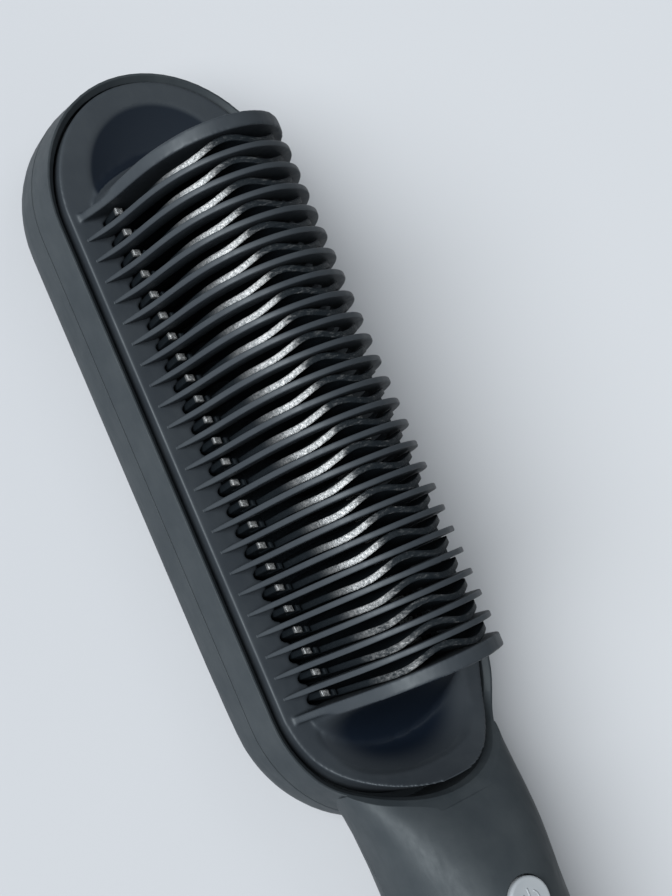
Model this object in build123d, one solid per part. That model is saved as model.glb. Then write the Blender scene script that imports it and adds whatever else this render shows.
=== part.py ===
from build123d import *
import math
import os

# Heated styling brush, lying on its back with the comb upwards.
# Millimetres. +X points to the tip of the head, +Y to its left side, +Z the way the comb points.
# The origin is the centre of the underside of the bounding box.

# Overall sizes
overall_length = 284.0
head_length = 144.1
head_half_width = 25.2
ridge_half_width = 24.3
widest_height = 12.0
rim_height = 19.0
back_radius = 8.0
wall = 2.0
seam_height = 12.7
seam_gap = 0.35
seam_depth = 0.8
handle_seam_height = 17.5

# Handle and neck
handle_centre_height = 18.8
neck_radius = 15.6
waist_radius = 14.3
tail_radius = 14.0
neck_length = 30.0
neck_start_inside_head = 8.1
section_steps = 32
neck_lap = 0.35
tail_cap_thickness = 5.0
tail_edge_radius = 2.0

# Comb guard, the inset frame with its arches
guard_half_width = 22.0
guard_end_setback = 3.8
guard_tip_setback = 2.6
guard_thickness = 4.0
groove_width = 1.0
ledge_width = 2.4
ledge_thickness = 1.6
rise_length = 13.4
rise_height = 10.6
ridge_rise = 10.0
ridge_rise_length = 13.4
back_rise = 3.4
back_rise_length = 42.0
guard_proud = 0.25
fin_count = 25
fin_pitch = 3.96
fin_thickness = 1.0
fin_height = 27.4
fin_foot_half_width = 20.7
fin_leg_width = 3.4
fin_crown_depth = 4.0
end_fin_thickness = 1.4
end_web_thickness = 1.2
web_half_width = 17.0
first_fin_from_tip = 25.3
slot_half_width = 16.1
dish_half_width = 15.9
dish_rim_width = 3.8
dish_depth = 1.7
neck_dish_floor = 17.2
neck_dish_rise = 12.8
neck_dish_stretch = 2.5
rim_slope_width = 0.9

# Heated comb plate
heated_fin_thickness = 1.1
heated_fin_half_width = 15.3
heated_crown_height = 25.9
heated_wave_depth = 0.75
heated_wave_length = 14.0
heated_wave_start = 3.0
heated_wave_steps = 18
end_tooth_width = 1.3
end_tooth_height = 4.6
second_tooth_width = 0.7
tooth_gap = 0.7
tooth_root_height = 0.6
plate_thickness = 3.0
plate_top_depth = 6.5
plate_half_width = 15.6
plate_end_margin = 2.6

# Heater pack under the plate
heater_length = 78.0
heater_half_width = 8.0
heater_thickness = 2.5
spring_thickness = 0.7
spring_slot_count = 5
insulation_thickness = 0.6
carrier_floor = 1.6
carrier_wall = 1.5
carrier_gap = 0.3
carrier_shelf = 1.5
carrier_lug_thickness = 1.6
side_part_offset = 3.4
fuse_radius = 1.6
fuse_length = 11.0
sensor_size = 3.0

# Power button and its switch
button_from_head = 19.8
button_radius = 4.25
button_gap = 0.3
button_proud = 0.35
button_flange_width = 1.1
button_flange_thickness = 0.9
button_stem_radius = 1.5
button_travel = 0.5
plunger_radius = 1.7
plunger_height = 0.9
switch_size = 6.0
switch_height = 3.4
board_length = 43.0
board_half_width = 10.5
board_thickness = 1.6
board_depth = 9.3

# Screws
screw_shank_radius = 1.1
screw_head_radius = 2.1
screw_head_height = 1.5
screw_clearance = 0.15
boss_radius = 3.2
screw_floor = 2.0

# Swivelling cord gland
gland_flange_radius = 8.2
gland_flange_thickness = 2.4
gland_neck_radius = 6.2
gland_tip_radius = 4.9
gland_bore_radius = 2.9
gland_running_fit = 0.08
gland_end_play = 0.1
gland_ridge_count = 3
gland_ridge_width = 1.2
gland_ridge_depth = 0.5
swivel_base_length = 7.0
contact_thickness = 0.5
contact_offsets = (5.4, -7.2)

# Places that follow from the sizes above
tip_x = overall_length / 2
head_end_x = tip_x - head_length
head_low_centre = head_end_x + head_half_width
head_high_centre = tip_x - head_half_width
tail_x = -overall_length / 2
gland_stub_length = 9.0
cap_end_x = tail_x + gland_stub_length
shell_end_x = cap_end_x + tail_cap_thickness
guard_tip_x = tip_x - guard_tip_setback
guard_end_x = head_end_x + guard_end_setback
rise_start_x = guard_end_x + rise_length
neck_start_x = head_end_x + neck_start_inside_head
first_fin_x = tip_x - first_fin_from_tip
last_fin_x = first_fin_x - (fin_count - 1) * fin_pitch
slot_middle_x = (first_fin_x + last_fin_x) / 2
ledge_z = rim_height - guard_thickness
ceiling_z = ledge_z - ledge_thickness
plate_top_z = rim_height - plate_top_depth
plate_bottom_z = plate_top_z - plate_thickness
heater_bottom_z = plate_bottom_z - heater_thickness
spring_bottom_z = heater_bottom_z - spring_thickness
insulation_bottom_z = spring_bottom_z - insulation_thickness
carrier_bottom_z = insulation_bottom_z - carrier_floor
fuse_x = last_fin_x + 26
sensor_x = first_fin_x - 30
button_x = head_end_x - button_from_head
handle_top_z = handle_centre_height + neck_radius
board_top_z = handle_top_z - wall - board_depth + board_thickness
swivel_base_x = shell_end_x + 2 * gland_end_play + gland_flange_thickness + contact_thickness + 0.6
far = 200.0

comb_screw_places = [(tip_x - 11.5, y) for y in (10.5, -10.5)]
comb_screw_places += [(head_end_x + 10.1, y) for y in (8.0, -8.0)]
head_screw_places = [(tip_x - 8.0, 0.0), (head_end_x + 14.1, 15.0), (head_end_x + 14.1, -15.0)]
handle_screw_places = [(button_x - 38.0, 0.0), (shell_end_x + 14.0, 0.0)]
board_screw_places = [(button_x + 5.5, 7.6), (button_x - 31.0, -7.6)]


def slot_block(low_x, high_x, half_width, low_z, high_z):
    """A long block with round ends."""
    outline = SlotOverall(high_x - low_x, 2 * half_width)
    return extrude(Pos((low_x + high_x) / 2, 0, low_z) * outline, amount=high_z - low_z)


def side_prism(edges, half_width):
    """A closed outline in the XZ plane, made into a prism across the brush."""
    face = Face(Wire(edges)).moved(Location((0, -half_width, 0)))
    return extrude(face, amount=2 * half_width, dir=(0, 1, 0))


def section_prism(edges, start_x, thickness):
    """A closed outline in the YZ plane, made into a slice along the brush."""
    face = Face(Wire(edges)).moved(Location((start_x, 0, 0)))
    return extrude(face, amount=thickness, dir=(1, 0, 0))


def rod(centre_x, centre_y, low_z, high_z, radius):
    return extrude(Pos(centre_x, centre_y, low_z) * Circle(radius), amount=high_z - low_z)


def block(low, high):
    size = [b - a for a, b in zip(low, high)]
    middle = [(a + b) / 2 for a, b in zip(low, high)]
    return Pos(*middle) * Box(*size)


# The outer form of the housing

def above_line(start, middle, end, end_slope):
    """Everything above a line seen from the side: flat, then sweeping up to the neck."""
    curve = Spline(start, middle, end, tangents=[(-1, 0, 0), (-1, 0, end_slope)])
    roof = far / 2
    beyond = (end[0] - 6, 0, end[2] + 9)
    far_end = beyond[0] - far
    corners = [end, beyond, (far_end, 0, beyond[2]), (far_end, 0, roof)]
    corners += [(far, 0, roof), (far, 0, start[2]), start]
    return side_prism([curve] + [Line(a, b) for a, b in zip(corners, corners[1:])], far / 4)


def above_ridge():
    """Everything above the ridge of the housing, whose rise levels off at the neck."""
    end_x = head_end_x - 0.3
    start = (end_x + ridge_rise_length, 0, rim_height)
    middle = (end_x + ridge_rise_length / 2, 0, rim_height + 0.39 * ridge_rise)
    return above_line(start, middle, (end_x, 0, rim_height + ridge_rise), 0.5)


def above_guard_rim():
    """Everything above the rim of the comb guard, which rises as a parabola."""
    base = rim_height + guard_proud
    middle = (rise_start_x - rise_length / 2, 0, base + rise_height / 4)
    end = (guard_end_x, 0, base + rise_height)
    return above_line((rise_start_x, 0, base), middle, end, 2 * rise_height / rise_length)


def below_back(inset):
    """Everything below the brush's back: flat under the head, sweeping up to the handle."""
    start_x = head_end_x + back_rise_length
    start = (start_x, 0, inset)
    middle = (start_x - back_rise_length / 2, 0, inset + back_rise / 4)
    end = (head_end_x - 1, 0, inset + back_rise)
    slope = 2 * back_rise / back_rise_length
    curve = Spline(start, middle, end, tangents=[(-1, 0, 0), (-1, 0, slope)])
    corners = [end, (end[0], 0, -far), (far, 0, -far), (far, 0, inset), start]
    return side_prism([curve] + [Line(a, b) for a, b in zip(corners, corners[1:])], far / 4)


def head_block(half_width, low_z, high_z, taper=0):
    """A block with the head's plan, of any half width."""
    length = head_high_centre - head_low_centre + 2 * half_width
    middle = (head_low_centre + head_high_centre) / 2
    outline = Pos(middle, 0, low_z) * SlotOverall(length, 2 * half_width)
    return extrude(outline, amount=high_z - low_z, taper=taper)


def head_form(inset, top):
    """The head as a solid, drawn in on all sides by inset: widest low down, narrower at the ridge."""
    lower = head_block(head_half_width - inset, inset - 1, widest_height) - below_back(inset)
    low_edges = [edge for edge in lower.edges() if edge.center().Z < widest_height / 2]
    bottom = [edge for edge in low_edges if abs(edge.center().Y) > 1]
    form = fillet(bottom, back_radius - inset)
    lean = math.degrees(math.atan((head_half_width - ridge_half_width) / (rim_height - widest_height)))
    form += head_block(head_half_width - inset, widest_height, min(top, rim_height), taper=lean)
    if top > rim_height:
        form += head_block(ridge_half_width - inset, rim_height, top)
    return form


def cross_section(x, top, under, half_width, squareness, inset):
    """A round back under a top that may be flatter than a circle."""
    points = []
    for step in range(section_steps):
        turn = 2 * math.pi * step / section_steps
        across, up = math.cos(turn), math.sin(turn)
        power = 2 / squareness if up > 0 else 1.0
        y = (half_width - inset) * math.copysign(abs(across) ** power, across)
        height = top - handle_centre_height - inset if up > 0 else under - inset
        points.append((x, y, handle_centre_height + height * math.copysign(abs(up) ** power, up)))
    return Face(Wire([Spline(*points, periodic=True)]))


def neck_form(inset):
    """The flare between head and handle, with a flatter top the nearer it is to the head."""
    tops = [24.1, 27.8, 30.8, 32.9, 34.1, handle_top_z]
    widths = [17.6, 16.2, 15.7, neck_radius, neck_radius, neck_radius]
    squareness = [4.0, 3.6, 3.1, 2.6, 2.2, 2.0]
    sections = []
    for step, (top, width, power) in enumerate(zip(tops, widths, squareness)):
        x = neck_start_x - step * neck_length / (len(tops) - 1)
        sections.append(cross_section(x, top, neck_radius, width, power, inset))
    return loft(sections)


def handle_form(inset):
    """The round handle, slim in the middle."""
    start_x = neck_start_x - neck_length
    sections = []
    for step, radius in enumerate((neck_radius, waist_radius, tail_radius)):
        x = start_x + (shell_end_x - start_x) * step / 2
        sections.append(cross_section(x, handle_centre_height + radius, radius, radius, 2.0, inset))
    return loft(sections)


def housing_form(inset):
    return head_form(inset, rim_height) + neck_form(inset) + handle_form(inset)


def front_form():
    """The front of the housing with its comb pocket and the inward slope of its ridge."""
    head = head_form(0, rim_height + rise_height + 8) - above_ridge()
    head = slope_rim(head - comb_pocket())
    inside_ridge = head_block(ridge_half_width - neck_lap, 0, far / 2)
    neck = neck_form(0) - above_ridge() - inside_ridge
    return head + neck + handle_form(0)


def housing_room():
    """The room inside the housing: below the ledge in the head, and all of the handle."""
    head = head_form(wall, ceiling_z)
    behind_head = block((-far, -far / 4, 0), (head_end_x + 0.8, far / 4, far / 4))
    handle = (neck_form(wall) & behind_head) + handle_form(wall)
    passage = block((head_end_x - 6, -8, wall + 4.5), (head_end_x + 12, 8, ceiling_z))
    return head + handle + passage


def below_seam(drop):
    """Everything below the parting line, lowered by drop."""
    head_z = seam_height - drop
    handle_z = handle_seam_height - drop
    step_start = (head_end_x + 7, 0, head_z)
    step_end = (head_end_x - 18, 0, handle_z)
    corners = [(far, 0, head_z), step_start, step_end, (-far, 0, handle_z)]
    corners += [(-far, 0, -far), (far, 0, -far)]
    edges = [Line(a, b) for a, b in zip(corners, corners[1:] + corners[:1])]
    return side_prism(edges, far / 4)


# Housing shells

def comb_pocket():
    """The opening in the front shell that the comb guard drops into."""
    pocket = head_block(guard_half_width + groove_width, ledge_z, far / 2)
    half = guard_half_width + groove_width - ledge_width
    outline = RectangleRounded(first_fin_x - last_fin_x + 10, 2 * half, 6)
    window = extrude(Pos(slot_middle_x, 0, ceiling_z - 1) * outline, amount=far / 4)
    return pocket + window


def slope_rim(form):
    """Cut the inward slope between the ridge of the housing and the groove."""
    pocket_half = guard_half_width + groove_width
    edges = []
    for edge in form.edges():
        on_wall = [abs(wall_distance(edge @ t) - pocket_half) < 0.01 for t in (0.0, 0.37, 1.0)]
        if all(on_wall) and edge.center().Z > rim_height - 0.5:
            edges.append(edge)
    return chamfer(edges, rim_slope_width)


def wall_distance(point):
    """Distance in plan from the middle line of the head."""
    nearest_x = min(max(point.X, head_low_centre), head_high_centre)
    return math.hypot(point.X - nearest_x, point.Y)


def screw_hole(x, y, head_z, tip_z, top_z):
    """A stepped hole from the back: head recess, then shank."""
    recess = rod(x, y, -1, head_z, screw_head_radius + screw_clearance)
    shank = rod(x, y, head_z - 1, top_z, screw_shank_radius + screw_clearance)
    return recess + shank


def make_front_shell():
    shell = front_form() - housing_room()
    shell -= below_seam(0)
    shell += front_bosses() & housing_form(wall / 2)
    for x, y in head_screw_places:
        shell -= rod(x, y, 0, ledge_z - 1.2, screw_shank_radius)
    for x, y in handle_screw_places:
        shell -= rod(x, y, 0, handle_seam_height + 7, screw_shank_radius)
    for x, y in board_screw_places:
        shell -= rod(x, y, 0, board_top_z + 6, screw_shank_radius)
    for x, y in comb_screw_places:
        shell -= rod(x, y, 0, ledge_z + 1, screw_shank_radius + screw_clearance)
    return shell - button_hole()


def front_bosses():
    """The posts inside the front shell that the screws bite into."""
    posts = [rod(x, y, screw_floor + 5, ledge_z - 0.2, boss_radius) for x, y in head_screw_places]
    post_z = handle_seam_height - 2
    posts += [rod(x, y, post_z, handle_top_z, boss_radius) for x, y in handle_screw_places]
    posts += [rod(x, y, board_top_z, handle_top_z, boss_radius - 0.9) for x, y in board_screw_places]
    return posts[0].fuse(*posts[1:])


def rear_bosses():
    """The posts inside the rear shell, round the screws."""
    posts = [rod(x, y, 0, screw_floor + 5, boss_radius) for x, y in head_screw_places]
    posts += [rod(x, y, 0, handle_seam_height - 2, boss_radius) for x, y in handle_screw_places]
    return posts[0].fuse(*posts[1:])


def make_rear_shell():
    shell = (housing_form(0) - housing_room()) & below_seam(0)
    groove = (below_seam(0) - below_seam(seam_gap)) - housing_form(seam_depth)
    shell -= groove
    shell += rear_bosses() & housing_form(wall / 2)
    for x, y in head_screw_places:
        shell -= screw_hole(x, y, screw_floor + 1.5, 0, screw_floor + 6)
    for x, y in handle_screw_places:
        shell -= screw_hole(x, y, handle_centre_height - neck_radius + 4.5, 0, handle_seam_height)
    return shell


# Comb guard

def fin_outline(half_foot, height, foot_z, points):
    """A symmetrical arch as one spline in the YZ plane, with a straight foot."""
    right = [(0, half_foot * a, foot_z + height * b) for a, b in points]
    left = [(0, -y, z) for _, y, z in reversed(right)]
    crown = (0, 0, foot_z + height)
    curve = Spline(*right, crown, *left)
    return [curve, Line(left[-1], right[0])]


def outer_arch():
    """Outer line of a guard fin: leaning legs, full shoulders, a low crown."""
    points = [(1.0, 0.0), (0.85, 0.22), (0.75, 0.48), (0.62, 0.73), (0.37, 0.92)]
    return fin_outline(fin_foot_half_width, fin_height + 0.3, rim_height - 0.3, points)


def inner_arch():
    """Inner line of a guard fin, the window over the slot."""
    points = [(1.0, 0.0), (0.86, 0.25), (0.75, 0.5), (0.6, 0.74), (0.34, 0.93)]
    half = fin_foot_half_width - fin_leg_width - 1.2
    return fin_outline(half, fin_height - fin_crown_depth + 1, rim_height - 1, points)


def guard_fin():
    """One guard fin, centred on the YZ plane."""
    outer = section_prism(outer_arch(), -fin_thickness / 2, fin_thickness)
    return outer - section_prism(inner_arch(), -fin_thickness, 2 * fin_thickness)


def hollow_sweep(face_x, way, steps):
    """What is cut away outside the hollow face of an end web; way is +1 at the tip."""
    points = [(face_x + way * out, 0, rim_height + up) for out, up in steps]
    first, last = points[0], points[-1]
    roof = rim_height + 2 * fin_height
    edges = [Spline(*points), Line(last, (last[0], 0, roof))]
    edges += [Line((last[0], 0, roof), (first[0], 0, roof)), Line((first[0], 0, roof), first)]
    return side_prism(edges, far / 4)


def end_fin(face_x, way, steps, dish_reach):
    """The end fin: an arch like the others, closed and thickened by a web with a hollow face."""
    low_x, high_x = sorted((face_x - way * end_fin_thickness, face_x))
    thin = section_prism(outer_arch(), low_x, high_x - low_x)
    low_x, high_x = sorted((face_x, face_x + way * (steps[-1][0] - 0.2)))
    web = section_prism(outer_arch(), low_x, high_x - low_x)
    web += block((low_x, -dish_half_width, ledge_z + 0.5), (high_x, dish_half_width, rim_height))
    web &= extrude(Pos(face_x, 0, 0) * Ellipse(dish_reach, web_half_width), amount=far / 2)
    return thin + (web - hollow_sweep(face_x, way, steps))


def tip_dish():
    """A shallow round bowl in the tip end of the frame."""
    middle_x = guard_tip_x - dish_rim_width - dish_half_width
    ball_radius = (dish_half_width ** 2 + dish_depth ** 2) / (2 * dish_depth)
    return Pos(middle_x, 0, rim_height - dish_depth + ball_radius) * Sphere(ball_radius)


def neck_dish():
    """A deeper bowl in the neck end, long across the brush, that runs up the rising rim."""
    ball = scale(Sphere(neck_dish_rise), by=(1, neck_dish_stretch, 1))
    middle_x = guard_end_x + dish_rim_width + 0.9 * neck_dish_rise
    return Pos(middle_x, 0, neck_dish_floor + neck_dish_rise) * ball


def make_comb_guard():
    roof = rim_height + rise_height + 8
    frame = slot_block(guard_end_x, guard_tip_x, guard_half_width, ledge_z, roof)
    frame -= above_guard_rim()
    slot_low = last_fin_x + fin_thickness / 2
    slot_high = first_fin_x - fin_thickness / 2
    tip_sweep = [(end_web_thickness, 28.4), (1.7, 15), (3.4, 5), (8, -0.9), (14, -2.6)]
    neck_sweep = [(end_web_thickness, 28.4), (1.7, 15), (3.3, 6.5), (7, 0.4), (11.5, -2.4)]
    frame -= tip_dish()
    frame -= neck_dish()
    tip_face = slot_high + end_fin_thickness
    neck_face = slot_low - end_fin_thickness
    frame += end_fin(tip_face, 1, tip_sweep, guard_tip_x - dish_rim_width - tip_face)
    frame += end_fin(neck_face, -1, neck_sweep, neck_face - guard_end_x - dish_rim_width)
    slot_top = rim_height + guard_proud
    frame -= block((slot_low, -slot_half_width, 0), (slot_high, slot_half_width, slot_top))
    fin = guard_fin()
    fins = [Pos(first_fin_x - i * fin_pitch, 0, 0) * fin for i in range(1, fin_count - 1)]
    frame = frame.fuse(*fins)
    for x, y in comb_screw_places:
        frame -= rod(x, y, ledge_z - 1, ledge_z + 1.8, screw_shank_radius)
    return frame


# Heated comb

def heated_fin_edges():
    """One heated fin seen along the brush: two small teeth at each side, then a tall arch."""
    root = rim_height + tooth_root_height
    base = plate_top_z - 0.5
    tooth_out = heated_fin_half_width
    tooth_in = tooth_out - end_tooth_width
    second_out = tooth_in - tooth_gap
    second_in = second_out - second_tooth_width
    body = second_in - tooth_gap * 0.7
    top = rim_height + end_tooth_height
    steps = [(tooth_out, base), (tooth_out, top), (tooth_in, top), (tooth_in, root)]
    steps += [(second_out, root), (second_out, top), (second_in, top), (second_in, root)]
    steps += [(body, root), (body, rim_height + 0.3 * heated_crown_height)]
    shares = [(1.0, 0.3), (0.97, 0.58), (0.87, 0.77), (0.67, 0.89), (0.36, 0.97)]
    arch = [(body * a, rim_height + heated_crown_height * b) for a, b in shares]
    mirrored = [(-y, z) for y, z in reversed(arch)]
    crown = (0, rim_height + heated_crown_height)
    points = [(0, y, z) for y, z in arch + [crown] + mirrored]
    right = [Line((0, *a), (0, *b)) for a, b in zip(steps, steps[1:])]
    left = [Line((0, -b[0], b[1]), (0, -a[0], a[1])) for a, b in zip(steps, steps[1:])]
    curve = Spline(*points, tangents=[(0, 0, 1), (0, 0, -1)])
    foot = Line((0, -tooth_out, base), (0, tooth_out, base))
    return right + [curve] + left[::-1] + [foot]


def wave_strip():
    """The plan of a heated fin: a strip that snakes from side to side."""
    half = heated_fin_half_width + 0.5
    middle = []
    for step in range(heated_wave_steps + 1):
        y = half * (2 * step / heated_wave_steps - 1)
        turn = 2 * math.pi * (y - heated_wave_start) / heated_wave_length
        middle.append((heated_wave_depth * math.cos(turn), y))
    back = [(x - heated_fin_thickness / 2, y, 0) for x, y in middle]
    front = [(x + heated_fin_thickness / 2, y, 0) for x, y in middle]
    edges = [Spline(*back), Line(back[-1], front[-1]), Spline(*front), Line(front[0], back[0])]
    return Face(Wire(edges))


def heated_fin():
    """One heated fin, centred on the YZ plane."""
    strip = extrude(wave_strip(), amount=far / 4, dir=(0, 0, 1))
    return strip & section_prism(heated_fin_edges(), -2, 4)


def make_heater_comb():
    low_x = last_fin_x - plate_end_margin
    high_x = first_fin_x + plate_end_margin
    low = (low_x, -plate_half_width, plate_bottom_z)
    plate = block(low, (high_x, plate_half_width, plate_top_z))
    plate = fillet(plate.edges().filter_by(Axis.Z), 2)
    fin = heated_fin()
    fins = [Pos(first_fin_x - (i + 0.5) * fin_pitch, 0, 0) * fin for i in range(fin_count - 1)]
    return plate.fuse(*fins)


# Heater pack

def centred_bar(half_length, half_width, low_z, high_z):
    """A flat bar that lies along the middle of the comb plate."""
    low = (slot_middle_x - half_length, -half_width, low_z)
    return block(low, (slot_middle_x + half_length, half_width, high_z))


def make_heating_element():
    bar = centred_bar(heater_length / 2, heater_half_width, heater_bottom_z, plate_bottom_z)
    return fillet(bar.edges().filter_by(Axis.X), 0.6)


def make_pressure_spring():
    half_length = heater_length / 2 + 3
    leaf = centred_bar(half_length, heater_half_width - 1, spring_bottom_z, heater_bottom_z)
    for i in range(spring_slot_count):
        x = slot_middle_x + (i - (spring_slot_count - 1) / 2) * heater_length / spring_slot_count
        leaf -= extrude(Pos(x, 0, spring_bottom_z - 1) * SlotOverall(10, 4), amount=3)
    return leaf


def make_insulation_sheet():
    half_length = heater_length / 2 + 5
    return centred_bar(half_length, heater_half_width + 0.5, insulation_bottom_z, spring_bottom_z)


def make_heater_carrier():
    low_x = last_fin_x - plate_end_margin - carrier_gap
    high_x = first_fin_x + plate_end_margin + carrier_gap
    half = plate_half_width + carrier_gap
    outer_low = (low_x - carrier_wall, -half - carrier_wall, carrier_bottom_z)
    outer_high = (high_x + carrier_wall, half + carrier_wall, ceiling_z)
    tray = fillet(block(outer_low, outer_high).edges().filter_by(Axis.Z), 3)
    tray -= block((low_x, -half, plate_bottom_z), (high_x, half, far / 4))
    shelf_half = half - carrier_shelf
    tray -= block((low_x + carrier_shelf, -shelf_half, insulation_bottom_z),
                  (high_x - carrier_shelf, shelf_half, far / 4))
    for x, y in comb_screw_places:
        inner_x = low_x - 0.5 if x < low_x else high_x + 0.5
        outer_x = x - 3 if x < low_x else x + 3
        low = (min(inner_x, outer_x), y - 3, ceiling_z - carrier_lug_thickness)
        tray += block(low, (max(inner_x, outer_x), y + 3, ceiling_z))
        tray -= rod(x, y, 0, far / 4, screw_shank_radius + screw_clearance)
    return tray


def fuse_rod(radius, length):
    """A rod along the axis of the fuse, which lies beside the heater."""
    place = Pos(fuse_x, heater_half_width + side_part_offset, plate_bottom_z - fuse_radius)
    return place * Rot(0, 90, 0) * Cylinder(radius, length)


def make_thermal_fuse():
    return fuse_rod(fuse_radius, fuse_length)


def make_fuse_clip():
    y = heater_half_width + side_part_offset
    reach = fuse_radius + 0.9
    low = (fuse_x - 2, y - reach, insulation_bottom_z)
    clip = block(low, (fuse_x + 2, y + reach, plate_bottom_z - fuse_radius))
    return clip - fuse_rod(fuse_radius + 0.02, far / 4)


def make_temperature_sensor():
    y = -heater_half_width - side_part_offset
    low = (sensor_x - sensor_size, y - sensor_size / 2, insulation_bottom_z)
    body = block(low, (sensor_x + sensor_size, y + sensor_size / 2, plate_bottom_z))
    return fillet(body.edges().filter_by(Axis.Z), 0.6)


# Button and control board

def button_hole():
    return rod(button_x, 0, board_top_z + 2, far / 2, button_radius + button_gap)


def make_power_button():
    flange_top = handle_top_z - wall - 1.5
    flange_low = flange_top - button_flange_thickness
    cap = rod(button_x, 0, flange_top - 0.1, handle_top_z + button_proud, button_radius)
    cap = fillet(cap.edges().group_by(Axis.Z)[-1], 0.5)
    flange = rod(button_x, 0, flange_low, flange_top, button_radius + button_flange_width)
    stem = rod(button_x, 0, plunger_top_z() + 0.02, flange_top - 0.2, button_stem_radius)
    return cap + flange + stem


def plunger_top_z():
    return board_top_z + switch_height + plunger_height


def make_switch_body():
    half = switch_size / 2
    low = (button_x - half, -half, board_top_z)
    body = block(low, (button_x + half, half, board_top_z + switch_height))
    body = fillet(body.edges().filter_by(Axis.Z), 0.5)
    return body - rod(button_x, 0, board_top_z + 1, far / 2, plunger_radius + 0.05)


def make_switch_plunger():
    return rod(button_x, 0, board_top_z + 1 + button_travel + 0.2, plunger_top_z(), plunger_radius)


def make_control_board():
    high_x = button_x + 9
    low = (high_x - board_length, -board_half_width, board_top_z - board_thickness)
    board = fillet(block(low, (high_x, board_half_width, board_top_z)).edges().filter_by(Axis.Z), 1.5)
    for x, y in board_screw_places:
        board -= rod(x, y, 0, far / 2, screw_shank_radius + screw_clearance)
    return board


def make_status_led():
    x = button_x - 7
    base = rod(x, 4.5, board_top_z, board_top_z + 1, 1.9)
    dome = rod(x, 4.5, board_top_z + 0.9, board_top_z + 4, 1.5)
    return base + fillet(dome.edges().group_by(Axis.Z)[-1], 1.2)


def make_film_capacitor():
    x = button_x - 17
    low = (x - 6, -6.5, board_top_z)
    return fillet(block(low, (x + 6, -1.5, board_top_z + 4.5)).edges(), 0.8)


def make_triac():
    x = button_x - 17
    tab = block((x - 3.5, 3.0, board_top_z), (x + 3.5, 4.0, board_top_z + 5.5))
    return tab + block((x - 3.2, 3.5, board_top_z), (x + 3.2, 7.0, board_top_z + 4))


def make_terminal_block():
    x = button_x - 29
    body = block((x - 4, -5, board_top_z), (x + 4, 5, board_top_z + 6))
    for y in (-2.5, 2.5):
        body -= Pos(x - 4, y, board_top_z + 2.5) * Rot(0, 90, 0) * Cylinder(1.3, 7)
        body -= rod(x, y, board_top_z + 4, far / 4, 1.4)
    return body


# Screws

def screw(x, y, head_bottom, tip_z):
    """A pan head screw that points upwards, with a cross recess."""
    head = rod(x, y, head_bottom - screw_head_height, head_bottom, screw_head_radius)
    head = fillet(head.edges().group_by(Axis.Z)[0], 0.5)
    recess_low = head_bottom - screw_head_height - 1
    recess_high = head_bottom - 0.6
    reach = screw_head_radius * 0.6
    head -= block((x - reach, y - 0.25, recess_low), (x + reach, y + 0.25, recess_high))
    head -= block((x - 0.25, y - reach, recess_low), (x + 0.25, y + reach, recess_high))
    return head + rod(x, y, head_bottom, tip_z, screw_shank_radius)


def make_shell_screws():
    screws = [screw(x, y, screw_floor + 1.5, ledge_z - 2) for x, y in head_screw_places]
    back = handle_centre_height - neck_radius + 4.5
    screws += [screw(x, y, back, handle_seam_height + 5) for x, y in handle_screw_places]
    return Compound(children=screws)


def make_comb_screws():
    head_bottom = ceiling_z - carrier_lug_thickness
    return Compound(children=[screw(x, y, head_bottom, ledge_z + 1.6) for x, y in comb_screw_places])


def make_board_screws():
    head_bottom = board_top_z - board_thickness
    return Compound(children=[screw(x, y, head_bottom, board_top_z + 5) for x, y in board_screw_places])


# Tail end

def tail_place(x):
    """A plane across the handle's axis at x, facing the head."""
    return Plane(origin=(x, 0, handle_centre_height), x_dir=(0, 1, 0), z_dir=(1, 0, 0))


def disc(low_x, high_x, radius):
    return extrude(tail_place(low_x) * Circle(radius), amount=high_x - low_x)


def make_tail_cap():
    cap = disc(cap_end_x, shell_end_x, tail_radius)
    cap = fillet(cap.edges().group_by(Axis.X)[0], tail_edge_radius)
    spigot = disc(shell_end_x, shell_end_x + 3, tail_radius - wall - 0.1)
    cap += spigot
    cap -= disc(shell_end_x, shell_end_x + 4, gland_flange_radius + 0.3)
    return cap - disc(cap_end_x - 1, shell_end_x + 1, gland_neck_radius + gland_running_fit)


def make_swivel_gland():
    flange_low = shell_end_x + gland_end_play
    flange = disc(flange_low, flange_low + gland_flange_thickness, gland_flange_radius)
    neck = disc(cap_end_x - 1, flange_low + 0.1, gland_neck_radius)
    base_x = cap_end_x - 0.9
    shoulder = (tail_x + 1, 0, gland_tip_radius)
    mouth = (tail_x, 0, gland_tip_radius - 1)
    corners = [mouth, (tail_x, 0, 0), (base_x, 0, 0), (base_x, 0, gland_neck_radius), shoulder]
    cone_edges = [Line(a, b) for a, b in zip(corners, corners[1:])]
    cone_edges.append(ThreePointArc(shoulder, (tail_x + 0.3, 0, gland_tip_radius - 0.3), mouth))
    cone = Pos(0, 0, handle_centre_height) * revolve(Face(Wire(cone_edges)), Axis.X, 360)
    gland = flange + neck + cone
    ridge_span = gland_stub_length - 3
    for i in range(gland_ridge_count):
        x = cap_end_x - 2 - i * ridge_span / gland_ridge_count
        floor_radius = gland_neck_radius - 0.4 * (i + 1) - gland_ridge_depth
        ring = disc(x - gland_ridge_width, x, gland_neck_radius + 1)
        gland -= ring - disc(x - gland_ridge_width, x, floor_radius)
    return gland - disc(tail_x - 1, far, gland_bore_radius)


def make_swivel_base():
    base = disc(swivel_base_x, swivel_base_x + swivel_base_length, tail_radius - wall - 0.15)
    bore = disc(swivel_base_x - 1, swivel_base_x + swivel_base_length + 1, gland_bore_radius + 1)
    return base - bore


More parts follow.
